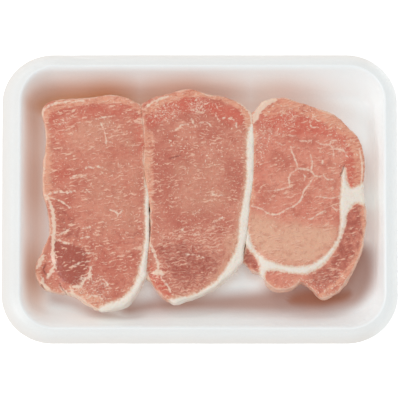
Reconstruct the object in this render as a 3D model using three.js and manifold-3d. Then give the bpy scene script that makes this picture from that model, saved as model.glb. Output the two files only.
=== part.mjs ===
// Meat tray pack: three boneless loin chops side by side in a moulded white foam tray.
// Millimetres, +Z up, +X along the tray's long side, +Y to its back edge.
// The origin is the middle of the tray's flat underside.
import * as THREE from "three";
import { mergeVertices } from "three/addons/utils/BufferGeometryUtils.js";
import Module from "manifold-3d";

const wasm = await Module();
wasm.setup();

// Tray: the lip line is the crest where the inner wall turns over into the rim.
const lipHalfX = 108;
const lipHalfY = 78.6;
const lipRadius = 21;
const trayHeight = 27;
const floorThickness = 3;
const wallRunEnd = 8.2; // how far an end wall leans out between the floor and the lip
const wallRunSide = 12.4; // the same for the front and back walls
const floorFillet = 5;
const rimWidthEnd = 9.4;
const rimWidthSide = 8.4;
const rimDrop = 7.6; // the rim's outer edge hangs this far below the lip
const sheetThickness = 3; // foam thickness in the wall and the rim
const trimShift = 1.7; // the rim is trimmed off centre, so it is wider on the left
const cornerSteps = 8;

// Chops: each is one slice with flat cut faces and the muscle's own rounded side.
const chopThickness = 18;
const restGap = 0.3; // chops lie this far above the tray's floor
const tissueGap = 0.3; // between lean, fat and the smaller muscles
const outlineSteps = 76;
const faceRings = [0.22, 0.44, 0.64, 0.82];
const edgeCrown = 0.8; // the middle of a cut face stands this much above its edge

// How far the side stands inside the slice's widest outline, against the height from the bottom face.
// Heights above the middle are counted down from the top face instead.
const topEdge = [
  { inset: 2.8, below: 0 },
  { inset: 1.5, below: 0.5 },
  { inset: 0.7, below: 1.9 },
  { inset: 0.2, below: 4.6 },
];
const bottomEdge = [
  { inset: 0, above: 9 },
  { inset: 0.6, above: 4 },
  { inset: 1.6, above: 1.3 },
  { inset: 3.2, above: 0 },
];

// Outlines are hand-picked points round each slice's own middle, joined by a smooth curve.
// sinks are places where a smaller muscle lies lower than the main cut face.
const leftChop = {
  at: [-62, -1.5],
  outline: [
    [-32, 54.5], [-29.5, 58.5], [-22.5, 61], [-6, 62.5], [9, 64.5], [19.5, 62],
    [26, 57.5], [27.8, 49], [29, 35], [28.5, 24.5], [29.5, 14], [31, 5],
    [31.5, -7], [31.5, -22], [30.5, -32], [29, -41], [27.5, -50], [22.5, -58],
    [18.5, -62], [4.5, -65.5], [-2, -63], [-9, -58], [-15, -55.3], [-22.5, -54.5],
    [-30.5, -51.5], [-34.5, -45.5], [-35, -37.5], [-31, -29], [-28, -21.5],
    [-27.5, -14], [-29, -2.5], [-31, 7.5], [-30.8, 24.5], [-29.5, 35], [-30.5, 46],
  ],
  fatInner: [
    [28.5, 24], [28.5, 7.5], [29.2, -7.5], [29, -21], [28.2, -31.5], [26.8, -39.5],
    [24.8, -46.5], [21.8, -52.5], [18, -57], [12.5, -60.3], [6, -62.2], [0, -66],
  ],
  sideSeam: [
    [-34, 7], [-29.5, 3], [-26.5, -2.5], [-24.5, -11.5], [-24.5, -21],
    [-24, -31], [-23.5, -38], [-21, -45.5], [-17, -50.5], [-14, -60],
  ],
  sinks: [
    { at: [-31, -38], reach: 9, depth: 4.5 },
    { at: [-24, -51], reach: 8, depth: 3 },
    { at: [2, 20], reach: 26, depth: 0.5 },
  ],
};
const middleChop = {
  at: [-1, 2],
  outline: [
    [-33, 51.5], [-30.8, 56.5], [-24.5, 59.5], [-16.5, 61.5], [-4.5, 64],
    [8.5, 61], [19, 59], [27.5, 54.5], [31, 48], [32.5, 41.5], [32.5, 28.5],
    [32, 7.5], [30, -7.5], [28.5, -22.5], [26.5, -34.5], [23, -44], [13, -53],
    [2.5, -59.5], [-9, -63], [-13.5, -64.5], [-20, -61.5], [-26.5, -53],
    [-30, -47], [-30.2, -40], [-28.8, -32.5], [-28, -25.5], [-28, -12.5],
    [-29, -1.5], [-31, 10.5], [-32, 21], [-31.5, 30], [-32, 41],
  ],
  fatInner: [
    [33, 46], [30, 39], [29, 30], [29, 12], [28, 3], [26.5, -6], [24.6, -16.5],
    [24.2, -25.5], [21.5, -35], [16.5, -44], [11.5, -50.5], [3, -57],
    [-4.5, -60.8], [-12, -62], [-20, -64],
  ],
  sideSeam: [
    [-32, -22], [-29, -28.5], [-26.5, -34.5], [-23.5, -40.5], [-20.5, -48],
    [-16.5, -56], [-14, -61], [-11, -70],
  ],
  sinks: [
    { at: [-28, -44], reach: 8, depth: 2.6 },
    { at: [-8, 8], reach: 22, depth: 0.6 },
  ],
};
const rightChop = {
  at: [63, 1.5],
  outline: [
    [-31, 48.5], [-26.5, 56.5], [-21.5, 58.5], [-13, 59.5], [-5, 57], [8.5, 52.5],
    [19, 47.5], [26, 40.5], [30.5, 36], [33.5, 29], [35.3, 19.5], [34.8, 9.5],
    [34.3, 1], [35.5, -9], [35.5, -19], [33.5, -31], [29.5, -41.5], [21, -54.5],
    [10, -60.8], [3, -55], [-3, -51.5], [-8, -55], [-16.5, -56.5], [-23, -53],
    [-26.3, -47], [-33, -44], [-36.2, -38], [-36, -31], [-34.3, -22], [-33, -4],
    [-30.5, 14], [-30.5, 32],
  ],
  seamInner: [
    [-40, -14], [-34.5, -20], [-32, -29], [-26, -36.6], [-16.5, -41],
    [-6, -42.6], [4.5, -40.6], [12, -34.6], [17, -26], [19.4, -16.5],
    [20, -6], [21, 3], [21.3, 10], [22.2, 17],
  ],
  branchUpper: [[23.6, 16.5], [24.2, 9], [27, 4.5], [31, 6], [40, 11.5]],
  branchLower: [[40, -5.5], [34, -5], [29.5, -4.6]],
  seamOuter: [
    [25.2, -9.5], [23, -18], [20, -27], [15, -35.5], [8.5, -42.5], [-1, -46.8],
    [-10.5, -46], [-19, -44.6], [-23.8, -45.4], [-25.2, -51],
  ],
  seamNotch: [[-28, -51], [-27.2, -44], [-28.6, -38], [-31.5, -34], [-35, -30.5], [-40, -26]],
  sinks: [
    { at: [-34, -38], reach: 8, depth: 4 },
    { at: [-6, -24], reach: 18, depth: 0.6 },
    { at: [14, -52], reach: 12, depth: 1.2 },
  ],
};

const colours = {
  foam: { color: 0xebe9e7, roughness: 0.62, metalness: 0 },
  lean: { color: 0xca8874, roughness: 0.42, metalness: 0 },
  darkLean: { color: 0xbd6f5f, roughness: 0.42, metalness: 0 },
  fat: { color: 0xeadacb, roughness: 0.5, metalness: 0 },
};

// One closed solid through a list of rings with equal point counts, with a fan at each end.
function loft(rings, firstPole, lastPole) {
  const count = rings[0].length;
  const points = [firstPole, ...rings.flat(), lastPole];
  const last = points.length - 1;
  const at = (ring, i) => 1 + ring * count + (i % count);
  const faces = [];
  for (let i = 0; i < count; i++) {
    faces.push(0, at(0, i), at(0, i + 1));
    faces.push(last, at(rings.length - 1, i + 1), at(rings.length - 1, i));
    for (let r = 0; r + 1 < rings.length; r++) {
      faces.push(at(r, i), at(r + 1, i), at(r + 1, i + 1));
      faces.push(at(r, i), at(r + 1, i + 1), at(r, i + 1));
    }
  }
  const geometry = new THREE.BufferGeometry().setFromPoints(points);
  return geometry.setIndex(faces);
}

// A rectangle with round corners at height z. It is the lip line at share 0, the floor's edge
// at -1 and the rim's trimmed edge at 1, and grow widens it by a few more millimetres.
function trayRing(share, z, grow = 0) {
  const outX = share * (share < 0 ? wallRunEnd : rimWidthEnd) + grow;
  const outY = share * (share < 0 ? wallRunSide : rimWidthSide) + grow;
  const shift = trimShift * (1 - Math.max(0, share));
  const ring = [];
  for (let corner = 0; corner < 4; corner++) {
    const cx = (lipHalfX - lipRadius) * (corner === 0 || corner === 3 ? 1 : -1);
    const cy = (lipHalfY - lipRadius) * (corner < 2 ? 1 : -1);
    for (let i = 0; i <= cornerSteps; i++) {
      const angle = (Math.PI / 2) * (corner + i / cornerSteps);
      const x = cx + shift + (lipRadius + outX) * Math.cos(angle);
      const y = cy + (lipRadius + outY) * Math.sin(angle);
      ring.push(new THREE.Vector3(x, y, z));
    }
  }
  return ring;
}

function trayGeometry() {
  const rings = [];
  // floor fillet
  for (const t of [0, 0.35, 0.7, 1]) {
    const turn = (t * Math.PI) / 3;
    const rise = floorFillet * (1 - Math.cos(turn));
    rings.push(trayRing(-1, floorThickness + rise, floorFillet * Math.sin(turn) * 0.8));
  }
  // up the wall and over the lip
  rings.push(trayRing(-0.3, 0.62 * trayHeight));
  rings.push(trayRing(-0.1, trayHeight - 1.9));
  rings.push(trayRing(-0.04, trayHeight - 0.5));
  rings.push(trayRing(0.03, trayHeight));
  // the rim rolls outwards and down to its trimmed edge
  const rimRise = (t) => trayHeight - 0.25 - (rimDrop - 0.25) * t ** 2.1;
  for (const t of [0.16, 0.4, 0.62, 0.8, 0.92, 1]) {
    rings.push(trayRing(t, rimRise(t)));
  }
  // back under the rim and down the outside of the wall
  const underEdge = trayHeight - rimDrop - 1.3;
  rings.push(trayRing(1, underEdge, -0.4));
  rings.push(trayRing(1, underEdge - 0.2, -1.9));
  for (const t of [0.68, 0.5, 0.32]) {
    rings.push(trayRing(t, rimRise(t) - sheetThickness - 0.4));
  }
  rings.push(trayRing(-0.3, 0.7 * trayHeight, sheetThickness + 1.4));
  rings.push(trayRing(-0.5, 0.45 * trayHeight, sheetThickness + 0.6));
  rings.push(trayRing(-1, 4.6, floorFillet + 2.4));
  rings.push(trayRing(-1, 1.4, floorFillet + 0.8));
  rings.push(trayRing(-1, 0, floorFillet - 1.4));
  const middle = (z) => new THREE.Vector3(trimShift, 0, z);
  return loft(rings, middle(floorThickness), middle(0));
}

const vectors = (points) => points.map(([x, y]) => new THREE.Vector3(x, y, 0));

function smoothLine(points, steps) {
  return new THREE.CatmullRomCurve3(vectors(points), false, "centripetal").getPoints(steps);
}

// The slice's widest outline, with each point's direction into the slice.
function outlineOf(chop) {
  const curve = new THREE.CatmullRomCurve3(vectors(chop.outline), true, "centripetal");
  // the outline runs clockwise, and the rings have to run the other way
  const points = curve.getSpacedPoints(outlineSteps).slice(1).reverse();
  return points.map((point, i) => {
    const before = points[(i + points.length - 2) % points.length];
    const after = points[(i + 2) % points.length];
    const along = after.clone().sub(before).normalize();
    return { point, inward: new THREE.Vector3(-along.y, along.x, 0) };
  });
}

// Height of the top cut face above the bottom one.
function faceHeight(chop, x, y) {
  const far = Math.hypot(x / 32, y / 62);
  let height = chopThickness + edgeCrown * (1 - Math.min(1, far) ** 2);
  for (const sink of chop.sinks) {
    const away = Math.hypot(x - sink.at[0], y - sink.at[1]) / sink.reach;
    height -= sink.depth * Math.exp(-away * away);
  }
  return height;
}

function chopSolid(chop) {
  const outline = outlineOf(chop);
  const ringAt = (inset, heightOf) =>
    outline.map(({ point, inward }) => {
      const p = point.clone().addScaledVector(inward, inset);
      return p.setZ(heightOf(p.x, p.y));
    });
  const rings = [];
  for (const share of faceRings) {
    const edge = ringAt(topEdge[0].inset, () => 0);
    rings.push(
      edge.map((p) => {
        const x = p.x * share;
        const y = p.y * share;
        return new THREE.Vector3(x, y, faceHeight(chop, x, y));
      }),
    );
  }
  for (const { inset, below } of topEdge) {
    rings.push(ringAt(inset, (x, y) => faceHeight(chop, x, y) - below));
  }
  for (const { inset, above } of bottomEdge) {
    rings.push(ringAt(inset, () => above));
  }
  const top = new THREE.Vector3(0, 0, faceHeight(chop, 0, 0));
  return solidOf(loft(rings, top, new THREE.Vector3(0, 0, 0)));
}

function solidOf(geometry) {
  geometry.deleteAttribute("normal");
  geometry.deleteAttribute("uv");
  const merged = mergeVertices(geometry, 1e-4);
  return new wasm.Manifold(
    new wasm.Mesh({
      numProp: 3,
      vertProperties: new Float32Array(merged.attributes.position.array),
      triVerts: new Uint32Array(merged.index.array),
    }),
  );
}

// A closed line moved outwards by a small distance.
function grown(line, distance) {
  const area = THREE.ShapeUtils.area(line);
  return line.map((point, i) => {
    const before = line[(i + line.length - 1) % line.length];
    const after = line[(i + 1) % line.length];
    const along = after.clone().sub(before).normalize();
    const out = new THREE.Vector3(along.y, -along.x, 0).multiplyScalar(Math.sign(area));
    return point.clone().addScaledVector(out, distance);
  });
}

// An upright prism through the whole slice, over a closed line.
function prism(line) {
  const shape = new THREE.Shape(line.map((p) => new THREE.Vector2(p.x, p.y)));
  const geometry = new THREE.ExtrudeGeometry(shape, { depth: 40, bevelEnabled: false });
  return solidOf(geometry.translate(0, 0, -10));
}

// The closed line between a seam and the same seam moved to its left by reach.
function bandBeside(seam, reach) {
  const moved = seam.map((point, i) => {
    const before = seam[Math.max(0, i - 1)];
    const after = seam[Math.min(seam.length - 1, i + 1)];
    const along = after.clone().sub(before).normalize();
    return new THREE.Vector3(point.x - along.y * reach, point.y + along.x * reach, 0);
  });
  return [...seam, ...moved.reverse()];
}

// The slice as fat and the muscles round it: fat first, then the rest from the largest down.
function tissues(chop, fatLine, sideLine) {
  const slice = chopSolid(chop);
  const fat = slice.intersect(prism(grown(fatLine, -tissueGap / 2)));
  let rest = slice.subtract(prism(grown(fatLine, tissueGap / 2)));
  if (sideLine) rest = rest.subtract(prism(sideLine));
  const smallest = 20; // cubic millimetres: anything less is a scrap
  const bySize = (solid) =>
    solid
      .decompose()
      .filter((piece) => piece.volume() > smallest)
      .sort((a, b) => b.volume() - a.volume());
  return [bySize(fat)[0], ...bySize(rest)];
}

function meshOf(name, solid, finish) {
  const { vertProperties, triVerts } = solid.getMesh();
  const geometry = new THREE.BufferGeometry()
    .setAttribute("position", new THREE.BufferAttribute(vertProperties, 3))
    .setIndex(new THREE.BufferAttribute(triVerts, 1));
  geometry.computeVertexNormals();
  const mesh = new THREE.Mesh(geometry, new THREE.MeshStandardMaterial(finish));
  mesh.name = name;
  return mesh;
}

// One slice as a group that stands where the slice lies in the tray.
function chopGroup(chop, fatLine, sideLine, names, finishes) {
  const group = new THREE.Group();
  tissues(chop, fatLine, sideLine)
    .slice(0, names.length)
    .forEach((solid, i) => group.add(meshOf(names[i], solid, finishes[i])));
  group.position.set(chop.at[0], chop.at[1], floorThickness + restGap);
  return group;
}

const fatReach = 14; // wide enough to pass the slice's side
const bandFat = (chop) => bandBeside(smoothLine(chop.fatInner, 40), fatReach);
const sideCut = (chop) => bandBeside(smoothLine(chop.sideSeam, 24), tissueGap);

// The right slice's fat: a curved seam round the eye, with a branch out to the right side.
function seamFat(chop) {
  return [
    ...smoothLine(chop.seamInner, 34),
    ...smoothLine(chop.branchUpper, 8),
    ...smoothLine([...chop.branchLower, ...chop.seamOuter], 32),
    ...smoothLine(chop.seamNotch, 10),
  ];
}

const pack = new THREE.Group();
pack.add(meshOf("tray", solidOf(trayGeometry()), colours.foam));
pack.add(
  chopGroup(
    leftChop,
    bandFat(leftChop),
    sideCut(leftChop),
    ["left_chop_fat", "left_chop_lean", "left_chop_side_muscle"],
    [colours.fat, colours.lean, colours.darkLean],
  ),
);
pack.add(
  chopGroup(
    middleChop,
    bandFat(middleChop),
    sideCut(middleChop),
    ["middle_chop_fat", "middle_chop_lean", "middle_chop_side_muscle"],
    [colours.fat, colours.lean, colours.darkLean],
  ),
);
pack.add(
  chopGroup(
    rightChop,
    seamFat(rightChop),
    null,
    ["right_chop_fat", "right_chop_lean", "right_chop_rim_muscle", "right_chop_side_muscle"],
    [colours.fat, colours.lean, colours.darkLean, colours.darkLean],
  ),
);

export default pack;
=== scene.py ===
# Meat tray pack: three boneless pork loin chops side by side in a white foam tray, seen from above.
import math

import bpy
import numpy as np
from mathutils import Matrix, Vector


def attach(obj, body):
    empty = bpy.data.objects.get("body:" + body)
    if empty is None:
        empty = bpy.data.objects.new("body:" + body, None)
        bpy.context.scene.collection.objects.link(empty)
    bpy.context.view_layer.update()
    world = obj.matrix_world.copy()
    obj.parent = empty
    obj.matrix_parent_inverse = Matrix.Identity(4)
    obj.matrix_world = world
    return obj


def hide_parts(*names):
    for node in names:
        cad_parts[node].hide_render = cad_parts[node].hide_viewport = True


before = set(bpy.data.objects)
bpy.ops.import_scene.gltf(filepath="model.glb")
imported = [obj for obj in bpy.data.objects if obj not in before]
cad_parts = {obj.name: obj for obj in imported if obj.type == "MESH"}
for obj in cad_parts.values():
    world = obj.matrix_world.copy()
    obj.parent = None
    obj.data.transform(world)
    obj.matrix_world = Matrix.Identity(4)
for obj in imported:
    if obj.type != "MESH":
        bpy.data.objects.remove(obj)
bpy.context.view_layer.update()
mm = 0.001  # sizes below are in millimetres, apart from the lights', and meshes are in metres
white = (1, 1, 1, 1)
scene = bpy.context.scene
print("frame loaded")


# Camera and light, set as for a product shot on a lit white table

shot = {
    "tilt": 10.0,  # degrees in front of straight above
    "frameWidth": 237.2,  # what the picture spans at the height of the rim
    # right, up the picture and towards the camera, from the tray's underside
    "aim": (0.24, 2.73, 24.0),
    "lens": 600.0,
    "sensor": 36.0,
    "clip": (0.05, 40.0),  # metres
}
# places and sizes in metres
lights = {
    "back": {"place": (-0.55, 1.15, 1.75), "size": 0.35, "watts": 3.0, "colour": "#FFFCF8"},
    "left": {"place": (-2.0, -0.6, 1.7), "size": 1.2, "watts": 15.0, "colour": "#FBFCFF"},
}
lightTarget = (0, 0, 0.02)
worldLight = 0.655


def addObject(name, data):
    made = bpy.data.objects.new(name, data)
    scene.collection.objects.link(made)
    return made


def makeCamera():
    tilt = math.radians(shot["tilt"])
    right, up = Vector((1, 0, 0)), Vector((0, math.cos(tilt), math.sin(tilt)))
    back = Vector((0, -math.sin(tilt), math.cos(tilt)))
    x, y, z = shot["aim"]
    target = (right * x + up * y + back * z) * mm
    away = shot["frameWidth"] * mm * shot["lens"] / shot["sensor"]
    camera = addObject("camera", bpy.data.cameras.new("camera"))
    camera.data.lens = shot["lens"]
    camera.data.sensor_width = shot["sensor"]
    camera.data.clip_start, camera.data.clip_end = shot["clip"]
    camera.location = target + back * away
    camera.rotation_mode = "QUATERNION"
    camera.rotation_quaternion = Matrix((right, up, back)).transposed().to_quaternion()
    scene.camera = camera


def hexLinear(code):
    channels = [int(code[i:i + 2], 16) / 255 for i in (1, 3, 5)]
    linear = [c / 12.92 if c <= 0.04045 else ((c + 0.055) / 1.055) ** 2.4 for c in channels]
    return (*linear, 1.0)


def makeLights():
    for name, light in lights.items():
        lamp = bpy.data.lights.new(name, "AREA")
        lamp.shape = "DISK"
        lamp.size = light["size"]
        lamp.energy = light["watts"]
        lamp.color = hexLinear(light["colour"])[:3]
        holder = addObject(name, lamp)
        holder.location = light["place"]
        holder.rotation_mode = "QUATERNION"
        ray = Vector(lightTarget) - Vector(light["place"])
        holder.rotation_quaternion = ray.to_track_quat("-Z", "Y")
    world = bpy.data.worlds.new("studio")
    world.use_nodes = True
    background = world.node_tree.nodes["Background"]
    background.inputs["Color"].default_value = white
    background.inputs["Strength"].default_value = worldLight
    scene.world = world
    scene.view_settings.view_transform = "Standard"


# One node with its settings and links, whose keys are a socket's name or number or else a
# property. It gives back one of the node's outputs.
def addNode(tree, kind, settings=None, links=None, out=0):
    made = tree.nodes.new("ShaderNode" + kind)
    for key, value in (settings or {}).items():
        if isinstance(key, int) or key in made.inputs:
            made.inputs[key].default_value = value
        else:
            setattr(made, key, value)
    for key, source in (links or {}).items():
        tree.links.new(source, made.inputs[key])
    return made.outputs[out]


# A material with what is the same all over it on its shader's sockets
def newMaterial(name, sockets):
    material = bpy.data.materials.new(name)
    material.use_nodes = True
    shader = material.node_tree.nodes["Principled BSDF"]
    for key, value in sockets.items():
        shader.inputs[key].default_value = value
    return material, material.node_tree, shader


def placeInMm(tree):
    place = addNode(tree, "TexCoord", out="Object")
    return addNode(tree, "VectorMath", {"operation": "MULTIPLY", 1: (1 / mm,) * 3}, {0: place})


# Shared numbers of the noise and the lines

hashX, hashY, hashZ, hashSeed, hashMix = 73856093, 19349663, 83492791, 2654435761, 1274126177
low32, low31 = 0xFFFFFFFF, 0x7FFFFFFF
seedStep = 37.7
spanPoints = 16  # points between two knots before a line is evened out
lineStep, strokeStep, patchStep = 0.8, 1.2, 2.5
farAway, leastSquare = 1e6, 1e-9


# Smooth bumps between -1 and 1, the same on every run, from a hash of each lattice corner
def latticeNoise(points, cell, seed):
    spot = points / cell + seedStep * seed
    low = np.floor(spot).astype(np.int64)
    part = spot - low
    part = part * part * (3 - 2 * part)
    total = np.zeros(len(points))
    for corner in np.ndindex(2, 2, 2):
        x, y, z = (low + corner).T
        mixed = (x * hashX ^ y * hashY ^ z * hashZ ^ seed * hashSeed) & low32
        mixed = (mixed ^ mixed >> 13) * hashMix & low32
        mixed = mixed ^ mixed >> 16
        share = np.where(np.array(corner) == 1, part, 1 - part).prod(axis=1)
        total += share * (mixed / low31 - 1)
    return total


# Noise in layers, each with its height, stretch, cell and seed
def noiseSum(points, layers):
    return sum(high * latticeNoise(points * stretch, cell, seed)
               for high, stretch, cell, seed in layers)


def smoothStep(low, high, value):
    t = np.clip((value - low) / (high - low), 0, 1)
    return t * t * (3 - 2 * t)


# A centripetal Catmull-Rom line through the knots, in points an equal step apart
def smoothLine(knots, step=lineStep, closed=False, count=None):
    knots = np.array(knots, float)
    if closed:
        knots = np.vstack((knots[-1:], knots, knots[:2]))
    else:
        before, after = 2 * knots[:1] - knots[1:2], 2 * knots[-1:] - knots[-2:-1]
        knots = np.vstack((before, knots, after))
    spans = []
    for a, b, c, d in zip(knots, knots[1:], knots[2:], knots[3:]):
        t1 = np.linalg.norm(b - a) ** 0.5
        t2 = t1 + np.linalg.norm(c - b) ** 0.5
        t3 = t2 + np.linalg.norm(d - c) ** 0.5
        t = np.linspace(t1, t2, spanPoints, endpoint=False)[:, None]
        ab = a + (b - a) * t / t1
        bc = b + (c - b) * (t - t1) / (t2 - t1)
        cd = c + (d - c) * (t - t2) / (t3 - t2)
        abc = ab + (bc - ab) * t / t2
        bcd = bc + (cd - bc) * (t - t1) / (t3 - t1)
        spans.append(abc + (bcd - abc) * (t - t1) / (t2 - t1))
    line = np.vstack(spans + [knots[-2:-1]])
    along = np.concatenate(([0], np.linalg.norm(np.diff(line, axis=0), axis=1).cumsum()))
    count = count or max(2, round(along[-1] / step))
    places = np.linspace(0, along[-1], count + 1)
    return np.stack([np.interp(places, along, column) for column in line.T], axis=1)


def lineDistance(points, line):
    nearest = np.full(len(points), farAway)
    for start, end in zip(line, line[1:]):
        along = end - start
        t = np.clip((points - start) @ along / max(along @ along, leastSquare), 0, 1)
        away = points - start - t[:, None] * along
        nearest = np.minimum(nearest, np.hypot(away[:, 0], away[:, 1]))
    return nearest


# How deep each point is inside a closed line, in millimetres, and below zero outside it
def areaDepth(points, line):
    closed = np.vstack((line, line[:1]))
    inside = np.zeros(len(points), bool)
    x, y = points.T
    for (x1, y1), (x2, y2) in zip(closed, closed[1:]):
        if y1 != y2:
            crosses = (y1 > y) != (y2 > y)
            inside ^= crosses & (x < (x2 - x1) * (y - y1) / (y2 - y1) + x1)
    return np.where(inside, 1, -1) * lineDistance(points, closed)


# Patches are written as how soft the edge is, how strong the middle is, and the outline
def patchWeight(patches, flat):
    weight = np.zeros(len(flat))
    for soft, most, knots in patches:
        depth = areaDepth(flat, smoothLine(knots, patchStep, True))
        weight = np.maximum(weight, most * smoothStep(-soft, soft, depth))
    return weight


# A closed mesh through rings of equal length, with a fan at each end
def loftObject(name, rings, poles, material):
    count = len(rings[0])
    points = np.vstack([poles[0][None]] + list(rings) + [poles[1][None]]) * mm
    i = np.arange(count)
    after = (i + 1) % count
    quads = []
    for ring in range(len(rings) - 1):
        base = 1 + ring * count
        corners = (base + i, base + count + i, base + count + after, base + after)
        quads.append(np.stack(corners, axis=1))
    last = len(points) - 1
    base = 1 + (len(rings) - 1) * count
    fans = [np.stack((np.zeros_like(i), 1 + i, 1 + after), axis=1),
            np.stack((np.full_like(i, last), base + after, base + i), axis=1)]
    mesh = bpy.data.meshes.new(name)
    mesh.from_pydata(points, [], np.vstack(quads).tolist() + np.vstack(fans).tolist())
    mesh.polygons.foreach_set("use_smooth", np.ones(len(mesh.polygons), bool))
    mesh.update()
    mesh.materials.append(material)
    return addObject(name, mesh)


# Attributes of a lofted mesh, where each pole takes the value beside it
def giveValues(piece, values):
    for name, value in values.items():
        layer = piece.data.attributes.new(name, "FLOAT", "POINT")
        value = np.concatenate((value[:1], value, value[-1:]))
        layer.data.foreach_set("value", value.astype(np.float32))


# Foam tray: bead foam sheet pressed to shape, with a rim that rolls outwards and down.
# A profile row says how far along it is, from the wall's foot at -1 over the lip at 0 to the rim's
# edge at 1, then its height, and how far out from there. Noise is written as in noiseSum.
tray = {
    "lipHalf": (108.0, 78.6),  # middle to the lip line, along and across
    "lipRadius": 21.0,
    "floor": 3.0,
    "wallRun": (8.2, 12.4),  # how far the end and side walls lean in
    "rimWidth": (9.4, 8.4),
    "shift": 1.7,  # the right end's rim is the narrower one
    "cornerSteps": 28,
    "sideSteps": 60,
    "between": 4,  # rings from one profile row to the next
    # the curve from floor to wall: its radius, how far it runs out, and where it starts
    "fillet": (9.0, 0.85, -3.5),
    "filletSteps": (0, 0.2, 0.4, 0.6, 0.8, 1),
    "wall": [(-0.31, 16.74, 0), (-0.16, 23, 0), (-0.09, 25.1, 0), (-0.01, 26.4, 0),
             (0.08, 26.95, 0)],
    # the rim's top: its height at the lip, how far it falls to the edge, and how the fall grows
    "rim": (26.75, 7.35, 2.1),
    "rimSteps": (0.22, 0.4, 0.62, 0.8, 0.92, 1),
    "rimEdge": [(1, 18.1, -0.4), (1, 17.9, -1.9)],
    "rimSheet": 3.4,
    "underRimSteps": (0.68, 0.5, 0.32),
    "outside": [(-0.3, 18.9, 4.4), (-0.5, 12.15, 3.6), (-1, 4.6, 7.4), (-1, 1.4, 5.8),
                (-1, 0, 3.6)],
    "floorShares": (*np.arange(0.985, 0.7, -0.015), 0.67, 0.62, 0.55, 0.45, 0.35, 0.25, 0.15,
                    0.07),
    "undersideShares": (0.7, 0.4, 0.15),
    # pressed foam is never quite even, apart from its underside
    "uneven": [(0.16, 1, 34, 3), (0.07, 1, 11, 5)],
    "unevenFrom": (0.5, 5),
    "unevenWay": (0.5, 0.5, 1.0),
    # the press has left a few fine wrinkles on the rim, most of all at the back left corner
    "wrinkles": {"least": 0.03, "more": 0.3, "left": (-40, -90), "back": (60, 76),
                 "height": (17, 24), "stretch": (0.22, 1, 0.6), "slant": (0, 0.12, 0), "cell": 1.7,
                 "seed": 8},
    # painted shade and reflected meat colour on the back and left walls: where it starts and is
    # full, how far from a chop it reaches, how high, and how it fades to the right
    "paintedMeatShade": {"back": (40, 62), "left": (-84, -100), "leftShare": 0.7, "reach": 14,
              "height": (33, 8), "fades": ((-60, 0, 45, 65, 85), (1, 0.62, 0.52, 0.5, 0.28))},
    "contact": (0.2, 3),  # and painted shade right beside a chop: how much, and how far it reaches
    # painted shadow of the chops along the foot of the walls, in patches
    "paintedChopShadowHeight": (19, 8),
    "paintedChopShadow": [
        (5.5, 0.8, [(-47, -62.5), (-29.5, -57.5), (-11.5, -56.5), (9, -54.5), (30, -53),
            (50.5, -50.5), (74.5, -49), (86, -40), (94, -25), (101, -27), (103, -49), (96.5, -60),
            (83.5, -65.5), (59.5, -66.5), (24, -66), (-5.5, -65.5), (-29.5, -66), (-44, -67.5)]),
        (8, 1.0, [(47.5, -58), (52.5, -51), (64.5, -48), (77.5, -50), (90.5, -47.5), (95, -53.5),
            (91.5, -61), (74.5, -66), (59.5, -66), (50, -64)]),
        (4, 0.45, [(-88.5, -56), (-77, -57), (-60, -63), (-42.5, -68), (-29.5, -62), (-28, -65.5),
            (-38.5, -70.5), (-59, -69), (-77, -63), (-88.5, -59.5)])],
    # painted shade: the rim is darker than the walls from the lip outwards, and less so at the
    # right end
    "paintedRimShade": [(0.45, 0.02, 0.16), (0.55, 0.3, 1)],
    "rightShare": 0.6,
    "rightEnd": (96, 110),
}


def trayRing(along, z, out):
    halfX, halfY = tray["lipHalf"]
    runX, runY = tray["wallRun"] if along < 0 else tray["rimWidth"]
    radius, steps = tray["lipRadius"], tray["cornerSteps"]
    shift = tray["shift"] * (1 - max(0, along))
    arcs = []
    for corner, (signX, signY) in enumerate(((1, 1), (-1, 1), (-1, -1), (1, -1))):
        turn = math.pi / 2 * (corner + np.arange(steps + 1) / steps)
        x = (halfX - radius) * signX + shift + (radius + along * runX + out) * np.cos(turn)
        y = (halfY - radius) * signY + (radius + along * runY + out) * np.sin(turn)
        arcs.append(np.column_stack((x, y)))
    # the straight sides get points too, so that the foam can be uneven there
    shares = np.arange(1, tray["sideSteps"])[:, None] / tray["sideSteps"]
    ring = []
    for arc, following in zip(arcs, arcs[1:] + arcs[:1]):
        ring += [arc, arc[-1] + (following[0] - arc[-1]) * shares]
    ring = np.vstack(ring)
    return np.column_stack((ring, np.full(len(ring), z)))


def rimHeight(along):
    top, fall, growth = tray["rim"]
    return top - fall * along ** growth


def trayProfile():
    rows = []
    radius, run, start = tray["fillet"]
    for share in tray["filletSteps"]:
        turn = share * math.pi / 3
        rows.append((-1, tray["floor"] + radius * (1 - math.cos(turn)),
                     radius * math.sin(turn) * run + start))
    rows += tray["wall"]
    rows += [(t, rimHeight(t), 0) for t in tray["rimSteps"]] + tray["rimEdge"]
    rows += [(t, rimHeight(t) - tray["rimSheet"], 0) for t in tray["underRimSteps"]]
    return rows + tray["outside"]


# Rings between two given ones, on smooth curves through all of them
def fillRings(rings, between):
    ends = [2 * rings[0] - rings[1]] + list(rings) + [2 * rings[-1] - rings[-2]]
    filled = []
    for a, b, c, d in zip(ends, ends[1:], ends[2:], ends[3:]):
        for t in np.arange(between) / between:
            filled.append(0.5 * (2 * b + (c - a) * t + (2 * a - 5 * b + 4 * c - d) * t ** 2
                                 + (3 * b - a - 3 * c + d) * t ** 3))
    return filled + [rings[-1]]


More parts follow.
